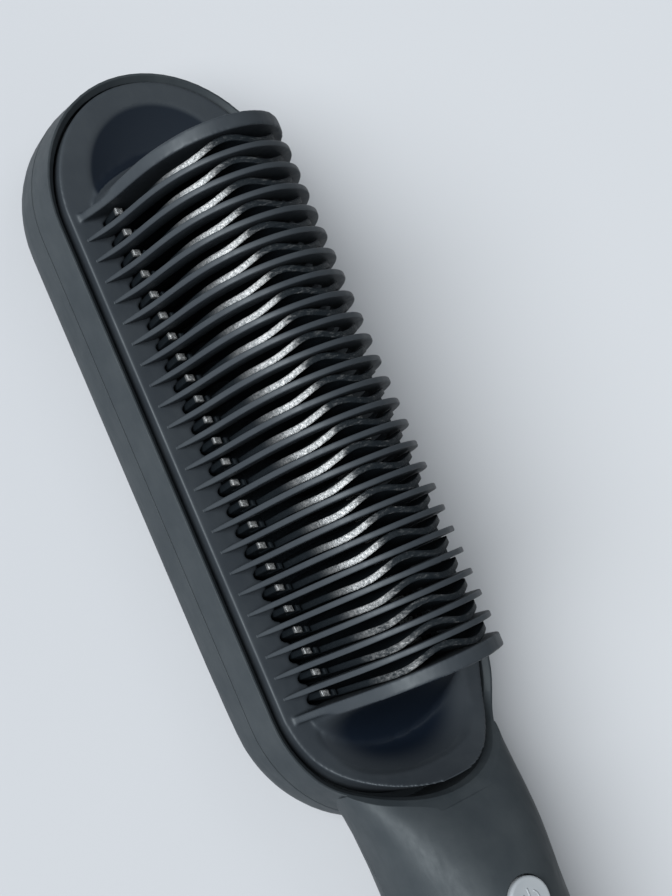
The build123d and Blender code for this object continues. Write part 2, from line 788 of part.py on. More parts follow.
def make_swivel_contacts():
    leaves = []
    for offset in contact_offsets:
        z = handle_centre_height + offset
        leaf = block((swivel_base_x - contact_thickness, -2.2, z - 1), (swivel_base_x, 2.2, z + 1))
        nose = Pos(swivel_base_x - contact_thickness, 0, z) * Sphere(contact_thickness)
        leaves.append(leaf + nose)
    return Compound(children=leaves)


PARTS = {
    "front_shell": make_front_shell,
    "rear_shell": make_rear_shell,
    "comb_guard": make_comb_guard,
    "heater_comb": make_heater_comb,
    "heater_carrier": make_heater_carrier,
    "heating_element": make_heating_element,
    "pressure_spring": make_pressure_spring,
    "insulation_sheet": make_insulation_sheet,
    "thermal_fuse": make_thermal_fuse,
    "fuse_clip": make_fuse_clip,
    "temperature_sensor": make_temperature_sensor,
    "comb_screws": make_comb_screws,
    "power_button": make_power_button,
    "switch_body": make_switch_body,
    "switch_plunger": make_switch_plunger,
    "control_board": make_control_board,
    "status_led": make_status_led,
    "film_capacitor": make_film_capacitor,
    "triac": make_triac,
    "terminal_block": make_terminal_block,
    "board_screws": make_board_screws,
    "shell_screws": make_shell_screws,
    "tail_cap": make_tail_cap,
    "swivel_gland": make_swivel_gland,
    "swivel_base": make_swivel_base,
    "swivel_contacts": make_swivel_contacts,
}

os.makedirs("parts", exist_ok=True)
for name, maker in PARTS.items():
    export_step(maker(), f"parts/{name}.step")
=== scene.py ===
import math

import bmesh
import bpy
import numpy as np
from mathutils import Matrix, Vector


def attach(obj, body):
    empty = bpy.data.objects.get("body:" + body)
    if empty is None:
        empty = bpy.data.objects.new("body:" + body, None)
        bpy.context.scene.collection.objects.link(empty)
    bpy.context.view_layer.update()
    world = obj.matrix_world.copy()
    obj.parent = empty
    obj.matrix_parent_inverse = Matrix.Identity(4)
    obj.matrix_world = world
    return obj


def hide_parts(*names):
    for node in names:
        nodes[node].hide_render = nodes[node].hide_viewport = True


# Heated styling brush: materials for its CAD pieces, a comb guard with soft forms in place of the
# CAD one, the symbol on its button, and the camera, floor and lamps.

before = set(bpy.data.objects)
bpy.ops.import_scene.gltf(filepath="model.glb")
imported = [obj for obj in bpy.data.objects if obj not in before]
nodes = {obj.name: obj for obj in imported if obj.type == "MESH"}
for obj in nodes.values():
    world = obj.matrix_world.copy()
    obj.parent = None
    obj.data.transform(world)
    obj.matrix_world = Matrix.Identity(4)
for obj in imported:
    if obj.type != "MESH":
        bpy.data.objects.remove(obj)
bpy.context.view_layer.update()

MM = 0.001

# Sizes of the part that its visual pieces follow, in mm

# Comb frame: the height of the rim round it, its own heights, its ends, half widths of the
# frame and its slot, and the rise of its neck end
RIM_Z, FRAME_BASE, FRAME_TOP = 19.0, 15.0, 19.25
GUARD_END_X, GUARD_TIP_X = 1.7, 139.4
GUARD_HALF, SLOT_HALF = 22.0, 16.1
RISE_LENGTH, RISE_HEIGHT = 13.4, 10.6

# Guard fins, counted from the tip. A fin thickens from its foot over FOOT_RUN of its arch.
FIN_COUNT, FIN_PITCH, FIRST_FIN_X = 25, 3.96, 116.7
LAST_FIN_X = FIRST_FIN_X - (FIN_COUNT - 1) * FIN_PITCH
FIN_THICKNESS, FOOT_THICKNESS, END_FIN_THICKNESS = 1.0, 0.45, 1.4
FOOT_RUN = 6.0
HALF_FIN = FIN_THICKNESS / 2

# An arch: half its width, the height of its foot, its height over the foot, and points up one
# side as shares of half its width and of its height
OUTER_ARCH = (20.7, 18.7, 27.7,
              ((1.0, 0.0), (0.85, 0.22), (0.75, 0.48), (0.62, 0.73), (0.37, 0.92)))
INNER_ARCH = (16.1, 18.0, 24.4,
              ((1.0, 0.0), (0.86, 0.25), (0.75, 0.5), (0.6, 0.74), (0.34, 0.93)))

# A fillet beside a fin's foot, in plan: how far it goes from the fin's side, and its place across
FILLET = ((-0.3, 16.4), (1.45, 16.4), (0.75, 15.7), (0.3, 14.8), (-0.3, 14.7))
FILLET_BASE = 16.6

# The web from an end fin into its dish: how far it goes out at each height over RIM_Z, then half
# its width, the height of its base, and how deep its back lies in the fin
TIP_SWEEP = ((1.2, 28.4), (1.7, 15), (3.4, 5), (8, -0.9), (14, -2.6))
NECK_SWEEP = ((1.2, 28.4), (1.7, 15), (3.3, 6.5), (7, 0.4), (11.5, -2.4))
WEB_HALF, WEB_BASE, WEB_ROOT = 17.0, 15.5, 0.4

# The dish at the tip is part of a ball, with a lip round its floor. The one at the neck is a bowl,
# stretched across the brush, with a further hollow.
TIP_DISH_X, DISH_HALF, DISH_DEPTH, DISH_LIP = 119.7, 15.9, 1.7, 0.3
BOWL_X, BOWL_Z, BOWL_RADIUS, BOWL_STRETCH = 17.0, 30.0, 12.8, 2.5
HOLLOW_X, HOLLOW_DEPTH, HOLLOW_LENGTH, HOLLOW_WIDTH = 10.8, 1.1, 3.2, 11.0

# The floors of the dishes, in plan: where each starts beyond its web, and the half oval of the
# neck's floor
TIP_FLOOR_X = 118.8
NECK_FLOOR_START_X, NECK_FLOOR_END_X = 19.6, 5.9
NECK_FLOOR_LENGTH, NECK_FLOOR_HALF = 14.0, 17.5

# Heated comb: its crest over RIM_Z, in shares of its half width and height
HEATED_HALF, HEATED_HEIGHT = 12.1, 25.9
HEATED_CREST = ((0, 1), (0.36, 0.97), (0.67, 0.89), (0.87, 0.77), (0.97, 0.58), (1, 0.3))

# Power button and its symbol: a ring, open by SYMBOL_OPENING degrees each side of +X, and a bar
BUTTON_X, BUTTON_TOP = -21.9, 34.75
SYMBOL_RADIUS, SYMBOL_OPENING = 1.75, 38
BAR_START, BAR_LENGTH = 0.7, 1.5
SYMBOL_HALF_WIDTH, SYMBOL_SUNK, SYMBOL_PROUD = 0.2, 0.05, 0.14


# Node helpers

def graph(name):
    """A new node material: returns it with its tree and its main shader."""
    material = bpy.data.materials.new(name)
    material.use_nodes = True
    tree = material.node_tree
    return material, tree, tree.nodes["Principled BSDF"]


def add(tree, kind, **values):
    """Add a node; values whose names are inputs set them, the others set properties."""
    node = tree.nodes.new(kind)
    for key, value in values.items():
        socket = key.replace("_", " ")
        if socket in node.inputs:
            node.inputs[socket].default_value = value
        else:
            setattr(node, key, value)
    return node


def math_node(tree, operation, first, second=0):
    """One step of arithmetic; each of its values is a socket or a number."""
    node = add(tree, "ShaderNodeMath", operation=operation)
    for socket, value in zip(node.inputs, (first, second)):
        if isinstance(value, (int, float)):
            socket.default_value = value
        else:
            tree.links.new(value, socket)
    return node.outputs["Value"]


def product(tree, first, *others):
    """Several values multiplied, in their order."""
    for other in others:
        first = math_node(tree, "MULTIPLY", first, other)
    return first


def mix_colour(tree, share, first, second):
    """The colour between two by a share; each of them is a socket or a plain colour."""
    node = tree.nodes.new("ShaderNodeMix")
    node.data_type = "RGBA"
    tree.links.new(share, node.inputs[0])
    for socket, value in ((node.inputs[6], first), (node.inputs[7], second)):
        if isinstance(value, (tuple, list)):
            socket.default_value = (*value, 1)
        else:
            tree.links.new(value, socket)
    return node.outputs[2]


def ramp(tree, source, stops):
    """A smooth colour ramp fed by a value; stops are pairs of a place and a grey."""
    node = tree.nodes.new("ShaderNodeValToRGB")
    node.color_ramp.interpolation = "EASE"
    for element, (place, grey) in zip(node.color_ramp.elements, stops):
        element.position = place
        element.color = (grey, grey, grey, 1)
    tree.links.new(source, node.inputs["Fac"])
    return node.outputs["Color"]


def step_up(tree, value, start, end, least=0.0):
    """A value that rises smoothly from least to 1 while its source goes from start to end."""
    node = add(tree, "ShaderNodeMapRange", From_Min=start, From_Max=end, To_Min=least)
    node.interpolation_type = "SMOOTHSTEP"
    tree.links.new(value, node.inputs["Value"])
    return node.outputs["Result"]


def place_in_mm(tree, stretch=(1, 1, 1)):
    """The place of a point in the part's frame, in mm, times a stretch along each axis."""
    mapping = add(tree, "ShaderNodeMapping", Scale=[s / MM for s in stretch])
    tree.links.new(add(tree, "ShaderNodeTexCoord").outputs["Object"], mapping.inputs["Vector"])
    return mapping.outputs["Vector"]


def axes(tree):
    """X, Y and Z of a point in the part's frame, in mm."""
    split = add(tree, "ShaderNodeSeparateXYZ")
    tree.links.new(place_in_mm(tree), split.inputs["Vector"])
    return split.outputs["X"], split.outputs["Y"], split.outputs["Z"]


def noise(tree, scale, detail=3.0, rough=0.55, stretch=(1, 1, 1)):
    """Fractal noise with its scale per mm; a stretch under 1 draws it out along that axis."""
    node = add(tree, "ShaderNodeTexNoise", Scale=scale, Detail=detail, Roughness=rough)
    tree.links.new(place_in_mm(tree, stretch), node.inputs["Vector"])
    return node.outputs["Fac"]


def bump(tree, shader, height, depth, strength, edge=0.25):
    """Surface relief from a height, depth mm deep, over edges that look rounded by edge mm."""
    soft = add(tree, "ShaderNodeBevel", samples=6, Radius=edge * MM)
    node = add(tree, "ShaderNodeBump", Strength=strength, Distance=depth * MM)
    tree.links.new(soft.outputs["Normal"], node.inputs["Normal"])
    tree.links.new(height, node.inputs["Height"])
    tree.links.new(node.outputs["Normal"], shader.inputs["Normal"])


# Plastics and bare metals

COOL_TINT = (0.86, 0.95, 1.0, 1)


def moulded(name, dark, light, roughness, grain=9.0, grain_depth=0.012, gloss=0.5, edge=0.25):
    """Satin moulded plastic: fine spark-eroded grain, cloudy handling marks, faint scuffs."""
    material, tree, shader = graph(name)
    handling = noise(tree, 0.09, detail=4, rough=0.6)
    clouds = ramp(tree, handling, [(0.3, 0.0), (0.72, 1.0)])
    tree.links.new(mix_colour(tree, clouds, dark, light), shader.inputs["Base Color"])
    scuffs = noise(tree, 0.5, detail=5, rough=0.65, stretch=(0.35, 1, 1))
    low, high = roughness
    tree.links.new(ramp(tree, scuffs, [(0.3, low), (0.75, high)]), shader.inputs["Roughness"])
    fine_grain = noise(tree, grain, detail=2, rough=0.5)
    bump(tree, shader, fine_grain, grain_depth, strength=0.5, edge=edge)
    shader.inputs["Specular IOR Level"].default_value = gloss
    shader.inputs["Specular Tint"].default_value = COOL_TINT
    return material


def metal(name, colour, roughness, scale=1.2, stretch=(1, 1, 1)):
    """Plain bare metal with fine drawn lines."""
    material, tree, shader = graph(name)
    lines = noise(tree, scale, detail=4, rough=0.6, stretch=stretch)
    darker = [c * 0.72 for c in colour]
    tree.links.new(mix_colour(tree, lines, darker, colour), shader.inputs["Base Color"])
    shader.inputs["Metallic"].default_value = 1.0
    tree.links.new(ramp(tree, lines, [(0.25, roughness), (0.8, roughness + 0.15)]),
                   shader.inputs["Roughness"])
    bump(tree, shader, lines, 0.01, strength=0.4)
    return material


def clear_lens():
    """Slightly hazy clear moulding of the indicator lamp."""
    material, tree, shader = graph("clear_lens")
    shader.inputs["Base Color"].default_value = (0.75, 0.85, 0.95, 1)
    shader.inputs["Transmission Weight"].default_value = 0.6
    haze = ramp(tree, noise(tree, 1.0), [(0.3, 0.1), (0.7, 0.2)])
    tree.links.new(haze, shader.inputs["Roughness"])
    return material


housing_plastic = moulded("housing_plastic", (0.019, 0.025, 0.030), (0.030, 0.037, 0.042),
                          (0.54, 0.68))
guard_plastic = moulded("guard_plastic", (0.024, 0.030, 0.037), (0.032, 0.039, 0.046),
                        (0.46, 0.60), gloss=0.42, edge=0.1)
button_plastic = moulded("button_plastic", (0.29, 0.32, 0.345), (0.33, 0.36, 0.385),
                         (0.30, 0.42), grain=6.0, grain_depth=0.006)
black_plastic = moulded("black_plastic", (0.010, 0.010, 0.011), (0.016, 0.016, 0.018), (0.45, 0.6))
nylon = moulded("nylon", (0.55, 0.54, 0.50), (0.62, 0.61, 0.58), (0.45, 0.6))
red_plastic = moulded("red_plastic", (0.40, 0.04, 0.03), (0.48, 0.06, 0.04), (0.35, 0.5))
green_plastic = moulded("green_plastic", (0.03, 0.17, 0.08), (0.04, 0.22, 0.10), (0.4, 0.55))
board_mask = moulded("board_mask", (0.012, 0.10, 0.04), (0.02, 0.14, 0.06), (0.2, 0.35))
mica = moulded("mica", (0.50, 0.44, 0.30), (0.66, 0.60, 0.44), (0.35, 0.6), grain=3.0,
               grain_depth=0.05)
steel = metal("steel", (0.55, 0.56, 0.58), 0.3)
aluminium = metal("aluminium", (0.72, 0.73, 0.74), 0.35, scale=0.8, stretch=(0.1, 1, 1))
brass = metal("brass", (0.78, 0.57, 0.24), 0.25)


# Coated metal of the heated comb, in mm. Its bare metal is partly wear and partly painted light:
# it is put on the shoulder that the lamp lights, along the middle fins, and on the tooth tips,
# where the highlights lie. It fades in over spans, each from its first value to its second. It
# reaches
# WEAR_AND_LIGHT_DEPTH below the crest, WEAR_AND_LIGHT_RAGGED is how far streaks shift its edge,
# and
# WEAR_AND_LIGHT_EDGE how soft that edge is. The small teeth are bare past two spans of their own,
# a painted highlight on their tips.

WEAR_AND_LIGHT_FROM_NECK, WEAR_AND_LIGHT_FROM_TIP = (22, 66), (116, 92)
WEAR_AND_LIGHT_FROM_MIDDLE, WEAR_AND_LIGHT_FROM_SIDE = (4, 8.5), (12.0, 10.4)
WEAR_AND_LIGHT_DEPTH, WEAR_AND_LIGHT_RAGGED, WEAR_AND_LIGHT_EDGE = 3.4, 2.0, 1.0
TEETH_OUTWARD, TEETH_UPWARD = (13.8, 14.1), (22.7, 23.3)


def below_crest(tree, y, z):
    """How far a point of the heated comb lies below the crest of its fin, in mm."""
    curve = add(tree, "ShaderNodeFloatCurve")
    line = curve.mapping.curves[0]
    while len(line.points) < len(HEATED_CREST):
        line.points.new(0.5, 0.5)
    for point, place in zip(line.points, HEATED_CREST):
        point.location = place
    curve.mapping.update()
    across = math_node(tree, "DIVIDE", math_node(tree, "ABSOLUTE", y), HEATED_HALF)
    tree.links.new(across, curve.inputs["Value"])
    crest = math_node(tree, "ADD", product(tree, curve.outputs["Value"], HEATED_HEIGHT), RIM_Z)
    return math_node(tree, "SUBTRACT", crest, z)


def worn_and_lit_share(tree, streaks):
    """Where the metal is bare: partly rubbed-off coating, partly painted light on the lit shoulder
    of each fin, and painted highlights on its small teeth.
    """
    x, y, z = axes(tree)
    clouds = noise(tree, 0.11, detail=3, rough=0.6, stretch=(0.7, 1, 0.4))
    patches = ramp(tree, clouds, [(0.38, 0.5), (0.60, 1.0)])
    # Painted light: bare metal is spread most over the middle fins and on the +Y shoulder, the lit
    # side.
    from_neck = step_up(tree, x, *WEAR_AND_LIGHT_FROM_NECK, least=0.12)
    from_tip = step_up(tree, x, *WEAR_AND_LIGHT_FROM_TIP, least=0.5)
    from_middle = step_up(tree, y, *WEAR_AND_LIGHT_FROM_MIDDLE)
    reach = product(tree, from_neck, patches, from_tip, from_middle, WEAR_AND_LIGHT_DEPTH)
    ragged = product(tree, math_node(tree, "SUBTRACT", streaks, 0.5), WEAR_AND_LIGHT_RAGGED)
    inside = math_node(tree, "SUBTRACT", reach, below_crest(tree, y, z))
    over = step_up(tree, math_node(tree, "ADD", inside, ragged), 0, WEAR_AND_LIGHT_EDGE)
    lit_shoulder = product(tree, over, step_up(tree, y, *WEAR_AND_LIGHT_FROM_SIDE))
    # Painted highlight: the tips of the small teeth are bare metal.
    outward = step_up(tree, math_node(tree, "ABSOLUTE", y), *TEETH_OUTWARD)
    teeth = product(tree, outward, step_up(tree, z, *TEETH_UPWARD))
    return math_node(tree, "MAXIMUM", lit_shoulder, teeth)


def coated_comb_metal():
    """Dark coating on a cast comb, with bright metal partly where it is worn and partly as painted
    light and painted glints.
    """
    material, tree, shader = graph("comb_metal")
    streaks = noise(tree, 1.1, detail=6, rough=0.8, stretch=(2.0, 0.45, 1.2))
    worn_and_lit = worn_and_lit_share(tree, streaks)
    # Painted glints: specks of brighter and darker colour in the bare metal.
    glints = ramp(tree, noise(tree, 2.4, detail=5, rough=0.8), [(0.40, 0.0), (0.62, 1.0)])
    bright = mix_colour(tree, glints, (0.22, 0.24, 0.25), (0.58, 0.60, 0.61))
    coated = (0.006, 0.009, 0.012)
    tree.links.new(mix_colour(tree, worn_and_lit, coated, bright), shader.inputs["Base Color"])
    shader.inputs["Specular IOR Level"].default_value = 0.22
    shader.inputs["Specular Tint"].default_value = COOL_TINT
    tree.links.new(ramp(tree, worn_and_lit, [(0.0, 0.05), (0.7, 1.0)]), shader.inputs["Metallic"])
    tree.links.new(ramp(tree, streaks, [(0.3, 0.46), (0.75, 0.68)]), shader.inputs["Roughness"])
    casting = noise(tree, 2.6, detail=4, rough=0.75)
    bump(tree, shader, casting, 0.16, strength=1.0, edge=0.45)
    return material


# Plastic of the two dishes, with painted shade that darkens each towards its middle. Each is an
# oval in
# plan, in mm: its middle, its half sizes, and the share of them within which the painted shade is
# darkest.

DISH_SHADE_OVALS = ((TIP_DISH_X, 15.6, 15.6, 0.94), (21.0, 16.2, 17.0, 0.72))


def shaded_dish_plastic():
    """The guard's plastic in its two dishes, which fades to a smoother middle darkened by painted
    shade.
    """
    material, tree, shader = graph("shaded_dish_plastic")
    x, y, _ = axes(tree)
    middle = 0.0
    for middle_x, half_x, half_y, full_share in DISH_SHADE_OVALS:
        share_x = math_node(tree, "DIVIDE", math_node(tree, "SUBTRACT", x, middle_x), half_x)
        share_y = math_node(tree, "DIVIDE", y, half_y)
        squares = math_node(tree, "ADD", product(tree, share_x, share_x),
                            product(tree, share_y, share_y))
        away = math_node(tree, "SQRT", squares)
        middle = math_node(tree, "MAXIMUM", middle, step_up(tree, away, 1, full_share))
    # Painted shade: the base colour darkens towards each dish's middle.
    tree.links.new(mix_colour(tree, middle, (0.028, 0.034, 0.041), (0.004, 0.007, 0.013)),
                   shader.inputs["Base Color"])
    tree.links.new(ramp(tree, middle, [(0.0, 0.52), (1.0, 0.32)]), shader.inputs["Roughness"])
    bump(tree, shader, noise(tree, 9.0, detail=2, rough=0.5), 0.002, strength=0.5)
    shader.inputs["Specular IOR Level"].default_value = 0.33
    shader.inputs["Specular Tint"].default_value = (0.80, 0.92, 1.0, 1)
    return material


# Materials of the CAD pieces

LOOKS = {
    "front_shell": housing_plastic, "rear_shell": housing_plastic, "tail_cap": housing_plastic,
    "comb_guard": guard_plastic, "heater_comb": coated_comb_metal(),
    "power_button": button_plastic,
    "heater_carrier": black_plastic, "heating_element": aluminium, "pressure_spring": steel,
    "insulation_sheet": mica, "thermal_fuse": steel, "fuse_clip": steel,
    "temperature_sensor": black_plastic, "comb_screws": steel, "switch_body": black_plastic,
    "switch_plunger": red_plastic, "control_board": board_mask, "status_led": clear_lens(),
    "film_capacitor": red_plastic, "triac": black_plastic, "terminal_block": green_plastic,
    "board_screws": steel, "shell_screws": steel, "swivel_gland": black_plastic,
    "swivel_base": nylon, "swivel_contacts": brass,
}
for name, material in LOOKS.items():
    mesh = nodes[name].data
    mesh.materials.clear()
    mesh.materials.append(material)


def piece_of(name, form, body, material):
    """Make an object of a bmesh, let it ride on a body and take its finish from a slot."""
    mesh = bpy.data.meshes.new(name)
    form.to_mesh(mesh)
    form.free()
    for face in mesh.polygons:
        face.use_smooth = True
    mesh.materials.append(material)
    piece = bpy.data.objects.new(name, mesh)
    bpy.context.scene.collection.objects.link(piece)
    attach(piece, body)
    return piece


# Power symbol, raised on the button

def raised_line(form, points, half_width, low_z, high_z):
    """A low ridge along a line in plan, rounded over its top, closed at both ends."""
    steps, fullness = 8, 0.7
    rings = []
    for i, (x, y) in enumerate(points):
        before, after = points[max(i - 1, 0)], points[min(i + 1, len(points) - 1)]
        along = Vector((after[0] - before[0], after[1] - before[1])).normalized()
        side = Vector((-along.y, along.x))
        ring = []
        for step in range(steps + 1):
            turn = math.pi * step / steps
            out, up = half_width * math.cos(turn), math.sin(turn) ** fullness
            z = low_z + (high_z - low_z) * up
            ring.append(form.verts.new(((x + side.x * out) * MM, (y + side.y * out) * MM, z * MM)))
        rings.append(ring)
    for first, second in zip(rings, rings[1:]):
        for a, b, c, d in zip(first, first[1:], second[1:], second):
            form.faces.new((a, b, c, d))
        form.faces.new((first[-1], first[0], second[0], second[-1]))
    form.faces.new(rings[0][::-1])
    form.faces.new(rings[-1])


def power_symbol():
    """A broken ring with a bar, which moves with the button."""
    ring_steps, bar_steps = 40, 6
    sweep = 360 - 2 * SYMBOL_OPENING
    ring = []
    for step in range(ring_steps + 1):
        turn = math.radians(SYMBOL_OPENING + sweep * step / ring_steps)
        ring.append((BUTTON_X + SYMBOL_RADIUS * math.cos(turn), SYMBOL_RADIUS * math.sin(turn)))
    bar = [(BUTTON_X + BAR_START + BAR_LENGTH * step / bar_steps, 0)
           for step in range(bar_steps + 1)]
    form = bmesh.new()
    for line in (ring, bar):
        raised_line(form, line, SYMBOL_HALF_WIDTH, BUTTON_TOP - SYMBOL_SUNK,
                    BUTTON_TOP + SYMBOL_PROUD)
    bmesh.ops.recalc_face_normals(form, faces=form.faces)
    piece_of("power_symbol", form, "button", button_plastic)


# Comb guard: a frame with softened edges and smooth dishes, and fins that are rounded bands

def run_along(points):
    """How far along a line of points each of them lies."""
    return np.concatenate([[0], np.cumsum(np.linalg.norm(np.diff(points, axis=0), axis=1))])


def smooth_curve(points, count):
    """Evenly spaced points of a natural cubic curve through the given ones."""
    points = np.array(points, dtype=float)
    place = run_along(points)
    gap = np.diff(place)
    system, right = np.eye(len(points)), np.zeros_like(points)
    for i in range(1, len(points) - 1):
        system[i, i - 1:i + 2] = gap[i - 1], 2 * (gap[i - 1] + gap[i]), gap[i]
        slope_after = (points[i + 1] - points[i]) / gap[i]
        slope_before = (points[i] - points[i - 1]) / gap[i - 1]
        right[i] = 6 * (slope_after - slope_before)
    bend = np.linalg.solve(system, right)
    found = []
    for t in np.linspace(0, place[-1], count):
        i = min(np.searchsorted(place, t, side="right") - 1, len(gap) - 1)
        a, b = (place[i + 1] - t) / gap[i], (t - place[i]) / gap[i]
        pull = ((a ** 3 - a) * bend[i] + (b ** 3 - b) * bend[i + 1]) * gap[i] ** 2 / 6
        found.append(a * points[i] + b * points[i + 1] + pull)
    return np.array(found)


def arch_line(half, foot_z, height, shares, count):
    """Points (y, z) of an arch, from its foot on the +Y side over its crown to the other foot."""
    right = [(half * a, foot_z + height * b) for a, b in shares]
    left = [(-y, z) for y, z in reversed(right)]
    return smooth_curve(right + [(0, foot_z + height)] + left, count)


def add_loft(form, rings):
    """A closed solid through rings of points."""
    rings = [[form.verts.new(point) for point in ring] for ring in rings]
    for first, second in zip(rings, rings[1:]):
        for a, b, c, d in zip(first, first[1:] + first[:1], second[1:] + second[:1], second):
            form.faces.new((a, b, c, d))
    form.faces.new(rings[0][::-1])
    form.faces.new(rings[-1])


def add_prism(form, corners, low_z, high_z):
    """An upright solid over an outline in plan."""
    low = [form.verts.new((x, y, low_z)) for x, y in corners]
    high = [form.verts.new((x, y, high_z)) for x, y in corners]
    form.faces.new(low[::-1])
    form.faces.new(high)
    for i in range(len(corners)):
        j = (i + 1) % len(corners)
        form.faces.new((low[i], low[j], high[j], high[i]))


def fin_x(i):
    """Place of a fin along the brush, counted from the tip."""
    return FIRST_FIN_X - i * FIN_PITCH


def add_fin(form, middle_x):
    """One guard fin: a rounded band along its arch, slimmer towards its feet."""
    arch_points, rounding = 73, 0.42
    outer, inner = arch_line(*OUTER_ARCH, arch_points), arch_line(*INNER_ARCH, arch_points)
    run = run_along(outer)
    rings = []
    for place, (out_y, out_z), (in_y, in_z) in zip(run, outer, inner):
        widening = math.sin(min(place, run[-1] - place, FOOT_RUN) / FOOT_RUN * math.pi / 2)
        half = (FOOT_THICKNESS + (FIN_THICKNESS - FOOT_THICKNESS) * widening) / 2
        width = math.hypot(out_y - in_y, out_z - in_z)
        edge = rounding * half
        corners = [(half - edge, width - edge, 0), (edge - half, width - edge, 90),
                   (edge - half, edge, 180), (half - edge, edge, 270)]
        ring = []
        for x, along, start in corners:
            for angle in range(start, start + 91, 30):
                turn = math.radians(angle)
                share = (along + edge * math.sin(turn)) / width
                y, z = in_y + (out_y - in_y) * share, in_z + (out_z - in_z) * share
                ring.append((middle_x + x + edge * math.cos(turn), y, z))
        rings.append(ring)
    add_loft(form, rings)


def frame_height(x, y):
    """Height of the frame's top outside the end fins: a rim, and a dish at each end."""
    if x > (FIRST_FIN_X + LAST_FIN_X) / 2:
        ball = (DISH_HALF ** 2 + DISH_DEPTH ** 2) / (2 * DISH_DEPTH)
        away = math.hypot(x - TIP_DISH_X, y)
        if away < DISH_HALF:
            return FRAME_TOP - DISH_DEPTH + ball - math.sqrt(ball ** 2 - away ** 2)
        return FRAME_TOP
    rise_start_x = GUARD_END_X + RISE_LENGTH
    rim = FRAME_TOP + RISE_HEIGHT * (max(0, rise_start_x - x) / RISE_LENGTH) ** 2
    inside = BOWL_RADIUS ** 2 - (x - BOWL_X) ** 2 - (y / BOWL_STRETCH) ** 2
    if inside <= 0:
        return rim
    fading = math.exp(-((x - HOLLOW_X) / HOLLOW_LENGTH) ** 2 - (y / HOLLOW_WIDTH) ** 2)
    return min(rim, BOWL_Z - math.sqrt(inside) - HOLLOW_DEPTH * fading)


def add_plate(form, inner_x, far_x, way):
    """The plate at one end of the frame, round in plan, with its dish.

    It stops a hair short of the end, where it would have no width.
    """
    steps, short = 90, 0.02
    middle_x = far_x - way * GUARD_HALF
    rings = []
    for x in np.linspace(inner_x, far_x - way * short, steps):
        past = max(0, way * (x - middle_x))
        half = math.sqrt(GUARD_HALF ** 2 - past ** 2)
        across = np.linspace(-half, half, steps)
        top = [(x, y, frame_height(x, y)) for y in across]
        rings.append(top + [(x, y, FRAME_BASE) for y in across[::-1]])
    add_loft(form, rings)


def add_web(form, face_x, way, sweep, arch):
    """The hollow web from an end fin's face down into the dish, which narrows to its sides."""
    slices, rows, profile_points = 81, 50, 60
    least_share, past_edge = 0.03, 0.01
    profile = smooth_curve(sweep, profile_points)
    low_z, high_z = RIM_Z + sweep[-1][1], RIM_Z + sweep[0][1]
    back_x = face_x - way * WEB_ROOT
    rings = []
    for y in np.linspace(-WEB_HALF, WEB_HALF, slices):
        share = max(least_share, math.sqrt(1 - (y / (WEB_HALF + past_edge)) ** 2))
        top = min(np.interp(-y, -arch[:, 0], arch[:, 1]), high_z)
        heights = np.linspace(top, low_z, rows)
        outs = np.interp(-(heights - RIM_Z), -profile[:, 1], profile[:, 0]) * share
        front = [(face_x + way * out, y, z) for out, z in zip(outs, heights)]
        front.append((front[-1][0], y, WEB_BASE))
        rings.append(front + [(back_x, y, WEB_BASE), (back_x, y, top)])
    add_loft(form, rings)


def add_end(form, fin_middle_x, far_x, way, sweep):
    """One end of the frame, from its end fin out: its plate, the fin and the web behind it."""
    arch_points = 97
    inner_x = fin_middle_x - way * HALF_FIN
    face_x = inner_x + way * END_FIN_THICKNESS
    add_plate(form, inner_x, far_x, way)
    arch = arch_line(*OUTER_ARCH, arch_points)
    add_loft(form, [[(x, y, z) for y, z in arch] for x in (inner_x, face_x)])
    add_web(form, face_x, way, sweep, arch)


def frame_of_guard():
    """The comb frame in mm, made of closed solids that the remesh joins."""
    form = bmesh.new()
    add_end(form, FIRST_FIN_X, GUARD_TIP_X, 1, TIP_SWEEP)
    add_end(form, LAST_FIN_X, GUARD_END_X, -1, NECK_SWEEP)
    bar = [(LAST_FIN_X, SLOT_HALF), (FIRST_FIN_X, SLOT_HALF),
           (FIRST_FIN_X, GUARD_HALF), (LAST_FIN_X, GUARD_HALF)]
    for side in (1, -1):
        add_prism(form, [(x, side * y) for x, y in bar], FRAME_BASE, FRAME_TOP)
        for i in range(FIN_COUNT - 1):
            for face_x, way in ((fin_x(i) - HALF_FIN, -1), (fin_x(i + 1) + HALF_FIN, 1)):
                fillet = [(face_x + way * out, side * y) for out, y in FILLET]
                add_prism(form, fillet, FILLET_BASE, FRAME_TOP)
    bmesh.ops.recalc_face_normals(form, faces=form.faces)
    mesh = bpy.data.meshes.new("frame")
    form.to_mesh(mesh)
    form.free()
    return mesh


def modified(name, mesh, kind, **values):
    """The mesh after one modifier."""
    piece = bpy.data.objects.new(name, mesh)
    bpy.context.scene.collection.objects.link(piece)
    modifier = piece.modifiers.new(kind.lower(), kind)
    for key, value in values.items():
        setattr(modifier, key, value)
    evaluated = piece.evaluated_get(bpy.context.evaluated_depsgraph_get())
    found = bpy.data.meshes.new_from_object(evaluated)
    bpy.data.objects.remove(piece)
    return found


def in_dish(x, y):
    """Whether a place in plan lies on the floor of a dish."""
    tip = x > TIP_FLOOR_X and math.hypot(x - TIP_DISH_X, y) < DISH_HALF - DISH_LIP
    oval = ((NECK_FLOOR_START_X - x) / NECK_FLOOR_LENGTH) ** 2 + (y / NECK_FLOOR_HALF) ** 2
    neck = NECK_FLOOR_END_X < x < NECK_FLOOR_START_X and abs(y) < DISH_HALF and oval < 1
    return tip or neck


